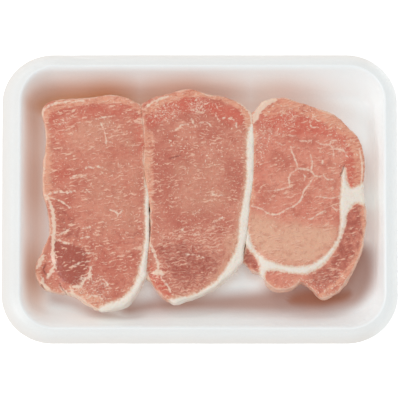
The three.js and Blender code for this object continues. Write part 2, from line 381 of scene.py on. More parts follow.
# Rings from the middle of the floor to that of the underside, and how far out on the rim each is
def trayRings():
    rows = trayProfile()
    profile = [trayRing(*row) for row in rows]
    rings = fillRings(profile, tray["between"])
    outs = np.interp(np.arange(len(rings)) / tray["between"], range(len(rows)),
                     [max(0.0, row[0]) for row in rows])
    middle = np.array((tray["shift"], 0, 0))
    inner, under = ([(ring - middle) * (share, share, 1) + middle for share in shares]
                    for ring, shares in ((profile[0], tray["floorShares"][::-1]),
                                         (profile[-1], tray["undersideShares"])))
    outs = np.concatenate((np.zeros(len(inner)), outs, np.zeros(len(under))))
    return inner + rings + under, outs


# The weights of the foam's painted shade, from 0 to 1. The meat's painted shade and shadow lie
# inside only, so the outside and underside stay clean.
def trayTints(points, outs):
    x, y, z = points.T
    near = np.full(len(points), farAway)
    for chop in chops.values():
        line = smoothLine(chop["outline"], patchStep, True)
        near = np.minimum(near, -areaDepth(points[:, :2] - chop["at"], line))
    near = np.maximum(near, 0)
    # painted shade and reflected meat colour on the walls near the chops
    meat = tray["paintedMeatShade"]
    left = meat["leftShare"] * smoothStep(*meat["left"], x)
    side = np.maximum(smoothStep(*meat["back"], y), left)
    side *= np.interp(x, *meat["fades"])
    paintedMeatShade = side * np.exp(-(near / meat["reach"]) ** 2) * smoothStep(*meat["height"], z)
    # painted shade right beside each chop
    most, reach = tray["contact"]
    paintedMeatShade = np.maximum(paintedMeatShade, most * np.exp(-(near / reach) ** 2))
    # painted shadow of the chops on the foot of the walls
    paintedChopShadow = patchWeight(tray["paintedChopShadow"], points[:, :2]) * smoothStep(*tray["paintedChopShadowHeight"], z)
    each = len(points) // len(outs)
    seen = np.repeat(np.arange(len(outs)) <= np.argmax(outs), each)
    out = np.repeat(outs, each)
    # painted shade on the rim
    paintedRimShade = sum(most * smoothStep(start, full, out) for most, start, full in tray["paintedRimShade"])
    paintedRimShade *= 1 - tray["rightShare"] * smoothStep(*tray["rightEnd"], x)
    return {"paintedMeatShade": paintedMeatShade * seen, "paintedChopShadow": paintedChopShadow * seen, "paintedRimShade": paintedRimShade}


def makeTray(material):
    rings, outs = trayRings()
    points = np.vstack(rings)
    x, y, z = points.T
    wave = noiseSum(points, tray["uneven"]) * smoothStep(*tray["unevenFrom"], z)
    fine = tray["wrinkles"]
    most = fine["more"] * smoothStep(*fine["left"], x) * smoothStep(*fine["back"], y)
    slanted = points * fine["stretch"] + points[:, :1] * fine["slant"]
    crease = latticeNoise(slanted, fine["cell"], fine["seed"])
    wave += (fine["least"] + most) * crease * smoothStep(*fine["height"], z)
    points = points + wave[:, None] * tray["unevenWay"]
    poles = [np.array((tray["shift"], 0, z)) for z in (tray["floor"], 0.0)]
    piece = loftObject("foam_tray", np.split(points, len(rings)), poles, material)
    giveValues(piece, trayTints(points, outs))
    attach(piece, "root")
    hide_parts("tray")
    print("tray made:", len(piece.data.polygons), "faces")


# Expanded polystyrene, pressed from pre-blown beads: a matt white skin in which the flattened
# beads show as faint cells 2 to 3 mm across, and light that sinks in a little before it comes out.
foam = {
    "light": "#E9EEEF",
    "shade": "#E4E9EA",
    # colours of the painted shade, shadow and reflected meat colour, mixed in by their weights
    "paintedShades": {"paintedMeatShade": "#C0855C", "paintedChopShadow": "#98634D", "paintedRimShade": "#D5D2CE"},
    "beadSize": 2.4,
    "seam": 0.16,
    "grainSize": 0.55,
    "cloudSize": 18.0,
    "detail": 2.0,
    "seamTone": 0.35,
    "cloudTone": 0.55,
    "grainTone": 0.3,
    "seamHeight": 0.7,
    "bump": {"Strength": 0.25, "Distance": 0.12 * mm},
    "sockets": {
        "Roughness": 0.32, "IOR": 1.5,
        "Subsurface Weight": 0.25, "Subsurface Radius": (1.0, 0.95, 0.9),
        "Subsurface Scale": 2.5 * mm,
        "Emission Strength": 0.26,  # painted glow: the foam gives off a little light of its own colour, standing in for light that has spread inside it
    },
}


def foamMaterial():
    material, tree, shader = newMaterial("expandedPolystyrene", foam["sockets"])
    inMm = placeInMm(tree)
    beads = addNode(tree, "TexVoronoi", {"feature": "DISTANCE_TO_EDGE",
                    "Scale": 1 / foam["beadSize"]}, {"Vector": inMm})
    seams = addNode(tree, "MapRange", {"interpolation_type": "SMOOTHSTEP", "From Min": 0.0,
                    "From Max": foam["seam"]}, {"Value": beads})
    cloud, grain = (addNode(tree, "TexNoise", {"Scale": 1 / foam[size], "Detail": foam["detail"]},
                            {"Vector": inMm}) for size in ("cloudSize", "grainSize"))
    tone = addNode(tree, "Math", {"operation": "MULTIPLY", 1: foam["seamTone"]}, {0: seams})
    for key, source in (("cloudTone", cloud), ("grainTone", grain)):
        tone = addNode(tree, "Math", {"operation": "MULTIPLY_ADD", 1: foam[key]},
                       {0: source, 2: tone})
    colour = addNode(tree, "Mix", {"data_type": "RGBA", 6: hexLinear(foam["shade"]),
                     7: hexLinear(foam["light"])}, {0: tone}, 2)
    # painted shade, shadow and reflected meat colour, each by its weight
    for key, paintedShadeColour in foam["paintedShades"].items():
        given = addNode(tree, "Attribute", {"attribute_name": key}, out="Fac")
        colour = addNode(tree, "Mix", {"data_type": "RGBA", 7: hexLinear(paintedShadeColour)},
                         {0: given, 6: colour}, 2)
    height = addNode(tree, "Math", {"operation": "MULTIPLY_ADD", 1: foam["seamHeight"]},
                     {0: seams, 2: grain})
    bump = addNode(tree, "Bump", foam["bump"], {"Height": height})
    tree.links.new(colour, shader.inputs["Base Color"])
    # the painted glow takes the foam's colour, painted shade included
    tree.links.new(colour, shader.inputs["Emission Color"])
    tree.links.new(bump, shader.inputs["Normal"])
    return material


# The three chops. Outlines and seams are the part's own, clockwise seen from above and round each
# chop's middle. fatInner is the fat's edge in the meat, and fatArea is all of its outline in runs.
# Sinks say where, how wide and how deep. Cracks, and strokes, which are thin seams of fat and
# connective tissue, give half their width, then points. The other lists are patches, as in
# patchWeight.
leftChop = {
    "at": (-62, -1.5),
    "outline": [
        (-32, 54.5), (-29.5, 58.5), (-22.5, 61), (-6, 62.5), (9, 64.5), (19.5, 62), (26, 57.5),
        (27.8, 49), (29, 35), (28.5, 24.5), (29.5, 14), (31, 5), (31.5, -7), (31.5, -22),
        (30.5, -32), (29, -41), (27.5, -50), (22.5, -58), (18.5, -62), (4.5, -65.5), (-2, -63),
        (-9, -58), (-15, -55.3), (-22.5, -54.5), (-30.5, -51.5), (-34.5, -45.5), (-35, -37.5),
        (-31, -29), (-28, -21.5), (-27.5, -14), (-29, -2.5), (-31, 7.5), (-30.8, 24.5), (-29.5, 35),
        (-30.5, 46)],
    "fatInner": [
        (30, 24), (30, 7.5), (29.9, -3), (29.7, -21), (28.7, -31.5), (26.8, -39.5), (24.8, -46.5),
        (21.8, -52.5), (18, -57), (12.5, -60.3), (6, -62.2), (0, -66)],
    "sinks": [((-31, -38), 9, 4.5), ((-24, -51), 8, 3), ((2, 20), 26, 0.5)],
    "strokes": [
        (1, [(-14.5, -51.5), (-13.5, -53.5), (-13, -56), (-10, -58.5), (-6.5, -61), (-3, -63.5),
            (4.5, -66)]),
        (0.45, [(-31.5, 46), (-32, 51), (-30.5, 55), (-26.5, 57.5), (-21, 59), (-13.5, 60),
            (-5.5, 60.5)]),
        (1, [(-29.5, 3.5), (-27.5, 0.5), (-25.5, -5.5), (-24.5, -14), (-24.5, -21), (-25, -28.5),
            (-24.5, -35.5), (-23, -40.5)]),
        (0.8, [(-23.5, -37), (-25, -40.5), (-26.5, -43)]),
        (0.36, [(-25, -21), (-27.5, -20.5), (-29.5, -21.5)]),
        (0.4, [(-25, -22.5), (-21, -24), (-15.5, -26)]),
        (0.24, [(-24.5, -21), (-20, -20), (-14.5, -16.5)]),
        (0.24, [(-29.5, 3), (-26, 4.5), (-22, 5.5), (-17, 5), (-12, 6)]),
        (0.2, [(-28.5, 1), (-25, 1.5), (-21, 0), (-18, -2), (-15, -4.5)]),
        (0.75, [(-14.5, -51), (-11.5, -51.5), (-8.5, -51), (-6.5, -48.5), (-5.5, -46.5),
            (-3.5, -46), (-3, -43), (-2.5, -40)]),
        (0.4, [(-12, -39.5), (-10, -38), (-7.5, -36.5)]),
        (0.2, [(-7, -32.5), (-4, -31.5), (-1, -31.5)]),
        (0.2, [(4, -46), (6.5, -48.5), (8.5, -52.5)]),
        (0.2, [(-4, -58), (-2, -57), (2, -57.5), (4.5, -59)]),
        (0.24, [(9, -5.5), (12, -6.5), (14, -8), (16, -5.5)]), (0.2, [(13, -10), (14, -8)]),
        (0.16, [(-1, 50), (2, 48.5), (4.5, 45), (5.5, 41.5), (6.5, 36.5), (7, 32)]),
        (0.16, [(4, 50.5), (10.5, 51)]), (0.24, [(-6.5, 19.5), (-4, 20.5), (-1, 19.5)]),
        (0.24, [(1, 21), (4.5, 19.5)]), (0.2, [(-14.5, 13.5), (-12, 15), (-9, 16)]),
        (0.2, [(-8.5, 14.5), (-6, 15.5), (-3.5, 16.5)]), (0.2, [(-5, 6.5), (-3.5, 5.5)]),
        (0.12, [(-7, -16.5), (-3, -16)]), (0.12, [(-8.5, -22.5), (-4, -22)]),
        (0.12, [(-7, -32.5), (-3, -31)]), (0.12, [(-5.5, -37), (-2, -35.5)]),
        (0.12, [(-5, -40.5), (0, -38.5)]), (0.12, [(-9, -47), (-5, -46)]),
        (1.1, [(-34, -39.5), (-32.5, -35.5), (-30.5, -32.5)]),
        (0.8, [(-31.5, -45.5), (-30.5, -50), (-26.5, -53.5)]),
        (0.9, [(-28.5, -45.5), (-26.5, -43), (-24.5, -41.5)]),
        (0.8, [(-21, -51.5), (-18.5, -53.5), (-16, -55)])],
    "cracks": [
        (0.4, [(-29, -37), (-30.5, -40.5), (-28.5, -44.5)]),
        (0.4, [(-32, -50), (-29.5, -53.5), (-25.5, -55.5)]),
        (0.35, [(-17, -55), (-19.5, -52.5), (-21, -49)])],
    "deep": [
        (6, 0.22, [(-4, -20), (26, -18), (28, -40), (16, -60), (2, -62), (-8, -54)]),
        (2, 1.0, [(-24.5, -23.5), (-19, -25.5), (-12.5, -27), (-6, -30), (-4, -37), (-5.5, -43),
            (-7, -48.5), (-10.5, -50.5), (-15.5, -50), (-20, -47), (-22.5, -42.5), (-24, -34.5)]),
        (4, 0.5, [(-25, -0.5), (-21, -0.5), (-16.5, -4), (-12.5, -10.5), (-9, -19), (-10, -25),
            (-17, -23.5), (-23.5, -21), (-23.5, -11.5)])],
    "peach": [
        (1.5, 0.8, [(-31.5, 47.5), (-30.5, 56), (-21, 60), (3, 63), (16, 62.5), (26.5, 57),
            (28, 53.5), (19.5, 57), (9, 59), (-9, 57), (-25.5, 53.5), (-28.5, 46)]),
        (2.6, 0.75, [(-31.5, 41.5), (-27.5, 42.5), (-27, 33.5), (-24.5, 21.5), (-27.5, 14),
            (-24.5, 7), (-26.5, 0.5), (-31, 0.5)]),
        (1.2, 0.7, [(-16, -52.5), (-11.5, -50), (-3, -55), (5.5, -59.5), (3, -64.5), (-6.5, -61)]),
        (1.5, 0.6, [(-35, -37), (-31.5, -32), (-29, -33.5), (-31.5, -39.5), (-30.5, -50),
            (-25.5, -55), (-32.5, -51.5)])],
    "net": [
        (3, 0.8, [(-13.5, -46.5), (-6.5, -43), (5.5, -45.5), (10, -55), (5.5, -63.5), (-3, -62),
            (-11.5, -56)]),
        (2.5, 0.8, [(-22.5, 51), (-16, 52), (-15, 46), (-21, 44.5)]),
        (2.0, 0.4, [(-26.5, -29.5), (-21, -23.5), (-6.5, -25), (-5.5, -37), (-11.5, -47.5),
            (-19.5, -49), (-25.5, -41.5)]),
        (3.0, 0.35, [(-21, -14.5), (-9, -13), (3, -16.5), (0.5, -23.5), (-15, -22.5)]),
        (2.0, 0.5, [(0, 50), (10, 48.5), (12.5, 39), (7.5, 30.5), (2, 36.5)])],
    "waves": [],
    "tan": [
        (8, 0.4, [(-20, 48), (6, 52), (22, 44), (24, 30), (0, 28), (-16, 34)]),
        (4, 0.5, [(-31, 42), (-28, 42), (-26, 30), (-25.5, 12), (-27, 8), (-32, 8), (-32, 28)]),
        (8, 0.3, [(0, 30), (26, 28), (28, -10), (24, -24), (2, -22), (-4, 0)])],
    "rosy": [
        (3, 0.4, [(-27, 25), (-21, 26), (-15, 20), (-13, 14), (-18, 9), (-24, 9), (-28, 16)]),
        (4, 0.45, [(-28, 58), (0, 60), (24, 60), (26, 51), (14, 50), (-8, 46), (-16, 36),
            (-26, 34)]),
        (2, 0.45, [(22, 55), (30, 52), (31, 22), (27, 22), (24, 40)]),
        (4, 0.3, [(4, -28), (24, -24), (24, -44), (14, -56), (2, -58), (-2, -42)])],
}
middleChop = {
    "at": (-1, 2),
    "outline": [
        (-33, 51.5), (-30.8, 56.5), (-24.5, 59.5), (-16.5, 61.5), (-4.5, 64), (8.5, 61), (19, 59),
        (27.5, 54.5), (31, 48), (32.5, 41.5), (32.5, 28.5), (32, 7.5), (30, -7.5), (28.5, -22.5),
        (26.5, -34.5), (23, -44), (13, -53), (2.5, -59.5), (-9, -63), (-13.5, -64.5), (-20, -61.5),
        (-26.5, -53), (-30, -47), (-30.2, -40), (-28.8, -32.5), (-28, -25.5), (-28, -12.5),
        (-29, -1.5), (-31, 10.5), (-32, 21), (-31.5, 30), (-32, 41)],
    "fatInner": [
        (33, 46), (30, 39), (29, 30), (29, 12), (28, 3), (26.5, -6), (24.6, -16.5), (24.2, -25.5),
        (21.5, -35), (16.5, -44), (11.5, -50.5), (3, -57), (-4.5, -60.8), (-12, -62), (-20, -64)],
    "sinks": [((-28, -44), 8, 2.6), ((-8, 8), 22, 0.6)],
    "strokes": [
        (0.6, [(-28.5, -29), (-26, -34.5), (-24, -40.5), (-23, -45)]),
        (0.7, [(22.5, 58), (28.5, 53), (31.5, 47), (32, 41)]),
        (0.5, [(-31, 52.5), (-27, 55.5), (-22.5, 58), (-17.5, 59.5)]),
        (1.4, [(-26, -46.5), (-23.5, -46), (-21.5, -47.5)]),
        (0.39, [(-22, -49.5), (-18.5, -54), (-15, -60)]),
        (0.8, [(-30.5, -46), (-29.5, -49), (-28.5, -52.5)]),
        (0.7, [(-15.5, -65), (-13, -64), (-9.5, -63)]),
        (0.08, [(-15, 37.5), (-13, 39.5), (-9.5, 42), (-5.5, 42.5)]),
        (0.05, [(-5.5, 48.5), (-3.5, 45), (-1.5, 41)]), (0.08, [(9.5, 50), (11, 47), (13, 45)]),
        (0.08, [(10.5, 55), (12.5, 51.5)]),
        (0.08, [(13.5, 46.5), (19.5, 46), (22.5, 44.5), (23, 40.5)]),
        (0.08, [(8.5, 0.5), (12, 0), (16, -0.5)]), (0.05, [(1, 43.5), (6, 43.5), (8, 41)]),
        (0.08, [(-2.5, -11), (-0.5, -10.5), (1, -9)]), (0.05, [(-3, -23.5), (1, -24)]),
        (0.05, [(-8.5, -35.5), (-3.5, -36), (3, -37.5)]), (0.05, [(-9.5, -21), (-6.5, -18.5)]),
        (0.05, [(9.5, -16.5), (14.5, -13.5)])],
    "cracks": [
        (0.3, [(-16.5, 22), (-13.5, 23), (-10, 24)])],
    "deep": [
        (7, 0.6, [(-23.5, -31), (-13.5, -27), (4, -33), (14.5, -34), (16, -41), (8.5, -49),
            (-1, -55), (-9.5, -57), (-16.5, -49), (-22.5, -41)])],
    "peach": [
        (1.5, 0.8, [(-32, 52.5), (-22.5, 58.5), (-9.5, 62), (1, 64), (10.5, 61), (22.5, 57),
            (30.5, 50), (32, 40.5), (29, 40.5), (26.5, 48.5), (18, 55), (5, 59), (-8.5, 58.5),
            (-21.5, 54), (-29.5, 47.5)]),
        (1.2, 0.7, [(-31, 39), (-27, 39), (-26.5, 21), (-26.5, -3), (-28.5, -15), (-30, -12.5)]),
        (1, 0.3, [(-27, -40.5), (-22.5, -44), (-15.5, -57), (-10.5, -64.5), (-15.5, -65.5),
            (-22.5, -58.5), (-28.5, -47.5)])],
    "net": [
        (2.5, 1.0, [(-7, 52.5), (-4.5, 58.5), (1, 60), (7, 58), (8.5, 52.5), (3.5, 48.5),
            (-3.5, 48.5)]),
        (3, 0.8, [(-28.5, 50), (-22.5, 55), (-12, 55.5), (-9.5, 50), (-15.5, 44), (-25, 42.5),
            (-29, 45)]),
        (3, 0.6, [(3.5, 26), (9.5, 29.5), (16.5, 28.5), (15.5, 21), (8.5, 16), (3, 20)]),
        (2.5, 0.4, [(-17.5, 39), (-4.5, 44), (9.5, 40.5), (8.5, 30.5), (-8.5, 27), (-19, 30.5)])],
    "waves": [
        (4, 1.0, [(-23.5, -24), (-15.5, -20), (18, -18), (16.5, -33), (8.5, -51), (-4.5, -63),
            (-13.5, -62), (-19.5, -51), (-24.5, -36)]),
        (5, 0.4, [(-25, 9), (-4.5, 14), (16.5, 9), (18, -11.5), (-4.5, -12.5), (-25, -11.5)])],
    "tan": [
        (8, 0.35, [(-16, 20), (16, 22), (20, -4), (8, -16), (-12, -12)]),
        (3, 0.5, [(16, -24), (24, -20), (22, -36), (8, -52), (4, -50), (14, -38)]),
        (1.2, 0.8, [(-34, 26), (-29.5, 26), (-28.5, 4), (-27, -10), (-30, -10), (-33, 8)])],
    "rosy": [
        (2, 0.9, [(-28.5, -40.5), (-24.5, -45), (-19, -54), (-15.5, -63), (-19, -64.5), (-25, -57),
            (-29.5, -48)]),
        (2.5, 0.85, [(-14, 62.5), (1, 64), (3.5, 58), (-0.5, 51), (-8.5, 50), (-14, 55.5)]),
        (3, 0.6, [(-30, 56), (-16, 60), (-6, 60), (-8, 50), (-20, 44), (-30, 40)]),
        (4, 0.9, [(-4.5, 58.5), (4, 58.5), (13, 55), (25, 53.5), (29, 46.5), (25, 41.5), (14.5, 45),
            (4, 50), (-4.5, 50)])],
}
rightChop = {
    "at": (63, 1.5),
    "outline": [
        (-31, 48.5), (-26.5, 56.5), (-21.5, 58.5), (-13, 59.5), (-5, 57), (8.5, 52.5), (19, 47.5),
        (26, 40.5), (30.5, 36), (33.5, 29), (35.3, 19.5), (34.8, 9.5), (34.3, 1), (35.5, -9),
        (35.5, -19), (33.5, -31), (29.5, -41.5), (21, -54.5), (10, -60.8), (3, -55), (-3, -51.5),
        (-8, -55), (-16.5, -56.5), (-23, -53), (-26.3, -47), (-33, -44), (-36.2, -38), (-36, -31),
        (-34.3, -22), (-33, -4), (-30.5, 14), (-30.5, 32)],
    "fatArea": [
        [(-40, -14), (-34.5, -20), (-32, -29), (-26, -36.6), (-16.5, -41), (-6, -42.6),
            (4.5, -40.6), (12.6, -34.6), (18.8, -26), (20.6, -16.5), (20.4, -6), (21, 3),
            (21.3, 10), (22.2, 17)],
        [(23.6, 16.5), (24.2, 9), (27, 4.5), (31, 6), (40, 11.5)],
        [(40, -5.5), (34, -5), (29.5, -4.6), (25.2, -9.5), (23, -18), (20, -27), (15, -35.5),
            (8.5, -42.5), (-1, -46.8), (-10.5, -46), (-19, -44.6), (-23.8, -45.4), (-25.2, -51)],
        [(-28, -51), (-27.2, -44), (-28.6, -38), (-31.5, -34), (-35, -30.5), (-40, -26)]],
    "sinks": [((-34, -38), 8, 4), ((-6, -24), 18, 0.6), ((14, -52), 12, 1.2)],
    "strokes": [
        (1.7, [(-30.5, 44.5), (-28.5, 50), (-25.5, 54), (-21.5, 57), (-17.5, 58)]),
        (0.4, [(32, 28), (33.5, 20), (33.5, 12), (33, 6)]),
        (0.3, [(-32, -6), (-26, -8), (-21.5, -11), (-16.5, -11), (-11, -8), (-6, -5.5),
            (-2.5, -1.5), (-1, 3), (1.5, 6), (3.5, 9.5), (5.5, 12)]),
        (0.3, [(5.5, 12), (3, 15), (-1.5, 16), (-4.5, 16.5)]),
        (0.26, [(-4.5, 16.5), (-6, 21.5), (-8, 26), (-9, 29.5)]),
        (0.26, [(-4.5, 16.5), (-9, 13), (-10, 10), (-9.5, 5.5)]),
        (0.22, [(3, 15), (4, 19.5), (3, 24.5)]), (0.3, [(5.5, 12), (9, 11.5)]),
        (0.26, [(10.5, 13), (12.5, 10), (16.5, 10)]),
        (0.26, [(6.5, 32.5), (9.5, 31), (14.5, 30.5), (16, 29), (20.5, 28), (22.5, 27.5),
            (24, 24.5)]),
        (0.22, [(14.5, 30.5), (15, 33), (18.5, 33.5)]), (0.18, [(16.5, 29), (16.5, 24)]),
        (0.18, [(-3.5, 33), (0, 33), (3.5, 33)]), (0.18, [(2.5, 46), (3.5, 41.5), (7, 41.5)]),
        (0.18, [(-16.5, 32), (-14, 30.5)]), (0.18, [(-9.5, 36), (-6, 36)]),
        (0.26, [(1.5, -14), (4, -13.5), (8, -10.5), (11.5, -9)]), (0.22, [(15, -6), (18.5, -9)]),
        (0.18, [(-22.5, 3), (-16.5, 3.5), (-9.5, 5.5)]), (0.5, [(10, 21), (10, 19.5)]),
        (0.22, [(-1.5, 13), (-0.5, 11.5), (-1, 9)]), (0.18, [(7, -0.5), (15.5, -1.5), (20.5, 0)])],
    "cracks": [
        (0.35, [(20.5, 12), (22, 15.5), (23, 18.5)])],
    "deep": [
        (3, 0.58, [(23, -8.5), (32, -5), (34.5, -17.5), (31, -34), (24, -44.5), (15.5, -53),
            (6, -54.5), (5, -48.5), (13, -40), (18, -29.5), (21, -19.5)]),
        (1.5, 0.6, [(-37, -29), (-33, -33), (-30, -36.5), (-28.5, -42), (-27, -47), (-38, -47)])],
    "peach": [
        (2, 0.72, [(-26, 50.5), (-18.5, 56.5), (-8, 58.5), (3.5, 55.5), (15.5, 50), (24.5, 43),
            (31.5, 33.5), (34.5, 21.5), (34, 4.5), (29, 4.5), (28.5, 18.5), (26, 29), (20.5, 36.5),
            (11.5, 42.5), (1.5, 47), (-9.5, 50.5), (-20, 47)]),
        (1.2, 0.7, [(-33, 41), (-29.5, 43), (-29.5, 27.5), (-30.5, 9.5), (-30, -5.5), (-33, -5.5)]),
        (1, 0.8, [(30.5, -5.5), (34.5, -5.5), (36.5, -17.5), (34.5, -29.5), (27.5, -44.5),
            (16.5, -55.5), (9.5, -62), (7, -60.5), (18, -50.5), (26, -40), (32, -26.5),
            (32.5, -16)]),
        (1, 0.7, [(-26, -46), (-22.5, -55.5), (-17.5, -60.5), (-9.5, -59), (-3.5, -55.5),
            (-4.5, -58), (-13, -62), (-21.5, -59), (-27, -50.5)])],
    "net": [
        (3, 0.7, [(-30.5, 39.5), (-18.5, 50.5), (-3.5, 50.5), (-6, 41), (-18.5, 33.5), (-26, 18.5),
            (-30.5, 15.5)]),
        (2.0, 0.6, [(-13, -53), (-3.5, -48.5), (14.5, -44.5), (24, -46), (20.5, -55.5), (12, -61),
            (2.5, -58), (-6, -56.5)]),
        (3, 0.6, [(-22.5, 53), (-3.5, 54), (9.5, 49), (7, 43), (-9.5, 45.5), (-23.5, 44.5)]),
        (1.5, 0.5, [(7, 43), (18, 44.5), (26, 36), (28.5, 24), (21.5, 21.5), (14.5, 32.5)])],
    "waves": [
        (2, 0.5, [(23, -10), (31, -6), (33.5, -17.5), (29.5, -32.5), (22.5, -43.5), (14.5, -52),
            (7, -53), (6, -48.5), (14.5, -40), (19, -29.5), (21.5, -19.5)])],
    "tan": [
        (9, 1.0, [(-33, -11), (-26, -12), (-16.5, -16), (-3.5, -16), (7, -18), (16.5, -19.5),
            (18, -26.5), (13, -35), (3.5, -41), (-8, -41.5), (-20, -38.5), (-29.5, -32.5),
            (-33.5, -24)])],
    "rosy": [
        (3.5, 0.75, [(-26, 50.5), (-12.5, 53), (2.5, 50), (18, 43), (26, 35), (30.5, 21.5),
            (30.5, 6), (26, 3.5), (23, 12), (23, 27.5), (14.5, 35), (-3.5, 36), (-18.5, 39.5),
            (-26, 42.5)])],
}
chops = {"left": leftChop, "middle": middleChop, "right": rightChop}
cut = {
    "thickness": 18.0,
    "base": 3.3,  # the tray's floor and the gap that the solids keep
    "crown": 0.8,
    "crownHalf": (32, 62),
    "fatReach": 14,  # from the fat's edge in the meat to well outside the chop
    "noStroke": -20.0,
    "taper": (0.25, 4),  # a stroke's width at its ends, and how fast it grows from there
    # points round the edge, how many apart two give its direction, and over how many that and
    # the push are evened out each way
    "around": 560,
    "turnStep": 3,
    "turnReach": 4,
    "pushReach": 2,
    "faceRings": 100,
    "sideRings": 26,
    "undersideShares": (0.8, 0.5, 0.2),
    # how far in, and how high, from the edge of the top face to that of the bottom one. Above the
    # middle the side follows the top's height, and it turns from up to out between two insets
    "side": [(1.2, 18.6), (0.55, 18.35), (0.1, 17.5), (0, 15), (0, 9), (0.6, 4), (1.6, 1.3),
             (3.2, 0)],
    "middle": 9.0,
    "turns": (1.5, 0.2),
    # neighbours this near are pressed together and overlap a little, and less where they are loose
    # and stay a hair apart, in patches in the tray's millimetres
    "near": (4.2, 2.8),
    "overlap": 0.35,
    "looser": 0.42,
    "loose": [(2, 1.0, [(-34, -3), (-24, -3), (-24, -32), (-34, -32)]),
              (2, 1.0, [(22, -18), (34, -18), (34, -44), (22, -44)])],
    "mostPush": 1.7,
    # the knife leaves low waves, and the lean, more than the fat, small lumps along its fibres
    "waves": [(0.4, 1, 15, 11), (0.2, 1, 6, 12)],
    "lumps": [(0.13, (0.55, 1.2, 1), 2.2, 13), (0.07, 1, 1.3, 14)],
    "smoother": (0.7, -0.5, 0.8),
    # how far each mark stands out, and the depths between which it rises: the fat does so a little,
    # with a groove along its edge, and the cracks are sunk
    "raised": {"fat": (0.25, -0.3, 1.5), "stroke": (0.08, -0.5, 0.3),
               "crack": (-0.5, -0.6, 0.3)},
    "groove": (0.3, 0.7),
    "reliefFrom": (0.2, 4),
    # the knife's line along the outside is never quite smooth
    "fray": [(0.4, (1, 1, 0.5), 8, 21), (0.28, (1, 1, 0.6), 3.2, 22), (0.14, 1, 1.4, 23)],
    "frayFrom": (0.88, 1),
    "patches": ("deep", "tan", "rosy", "peach", "net", "waves"),
    "rimStep": 4,
}


def faceHeight(chop, x, y):
    far = np.hypot(x / cut["crownHalf"][0], y / cut["crownHalf"][1])
    height = cut["thickness"] + cut["crown"] * (1 - np.minimum(1, far) ** 2)
    for (sinkX, sinkY), reach, depth in chop["sinks"]:
        height = height - depth * np.exp(-((x - sinkX) ** 2 + (y - sinkY) ** 2) / reach ** 2)
    return height


# Each row is a direction in the plane, and the result is a quarter turn to its left, 1 long
def leftOf(along):
    along = along / np.linalg.norm(along, axis=1)[:, None]
    return np.column_stack((-along[:, 1], along[:, 0]))


def fatDepth(chop, flat):
    if "fatArea" in chop:
        return areaDepth(flat, np.vstack([smoothLine(knots) for knots in chop["fatArea"]]))
    seam = smoothLine(chop["fatInner"])
    moved = seam + leftOf(np.gradient(seam, axis=0)) * cut["fatReach"]
    return areaDepth(flat, np.vstack((seam, moved[::-1])))


def strokeDepth(strokes, flat):
    depth = np.full(len(flat), cut["noStroke"])
    least, growth = cut["taper"]
    for half, knots in strokes:
        line = smoothLine(knots, strokeStep)
        for k, pair in enumerate(zip(line, line[1:])):
            share = (k + 0.5) / (len(line) - 1)
            width = half * min(1, least + growth * min(share, 1 - share))
            depth = np.maximum(depth, width - lineDistance(flat, pair))
    return depth


# The mean of each value and its neighbours round a closed line
def ringMean(values, reach):
    return sum(np.roll(values, k, axis=0) for k in range(-reach, reach + 1)) / (2 * reach + 1)


# A chop's edge and the way in from it. Soft slices give way until they touch a near neighbour.
def pressedEdge(chop):
    edge = smoothLine(chop["outline"], closed=True, count=cut["around"])[:-1][::-1]
    step = cut["turnStep"]
    along = np.roll(edge, -step, axis=0) - np.roll(edge, step, axis=0)
    inward = leftOf(ringMean(along, cut["turnReach"]))
    gap = np.full(len(edge), farAway)
    for other in chops.values():
        if other is not chop:
            line = smoothLine(other["outline"], closed=True) + other["at"] - np.array(chop["at"])
            gap = np.minimum(gap, lineDistance(edge, line))
    overlap = cut["overlap"] - cut["looser"] * patchWeight(cut["loose"], edge + chop["at"])
    push = np.minimum(gap / 2 + overlap, cut["mostPush"]) * smoothStep(*cut["near"], gap)
    return edge - inward * ringMean(push, cut["pushReach"])[:, None], inward


# Points in rings from the middle of the top to that of the bottom, how far out each faces, from 0
# for up to 1, and how much of the knife's uneven line it takes
def chopRings(chop, edge, inward):
    rows = []
    rim = edge + inward * cut["side"][0][0]
    for share in np.arange(1, cut["faceRings"]) / cut["faceRings"]:
        flat = rim * share
        rows.append((flat, faceHeight(chop, *flat.T), 0.0, smoothStep(*cut["frayFrom"], share)))
    middle = cut["middle"]
    stretch = (faceHeight(chop, *rim.T) - middle) / (cut["side"][0][1] - middle)
    for inset, z in smoothLine(cut["side"], count=cut["sideRings"]):
        if z > middle:
            height, lean = middle + (z - middle) * stretch, smoothStep(*cut["turns"], inset)
        else:
            height, lean = z, 1.0
        rows.append((edge + inward * inset, height, lean, 1.0))
    foot = edge + inward * cut["side"][-1][0]
    rows += [(foot * share, 0.0, 1.0, 1.0) for share in cut["undersideShares"]]
    points = np.vstack([np.column_stack((flat, np.broadcast_to(height, len(flat))))
                        for flat, height, lean, fray in rows])
    return points, *(np.repeat([row[k] for row in rows], len(edge))[:, None] for k in (2, 3))


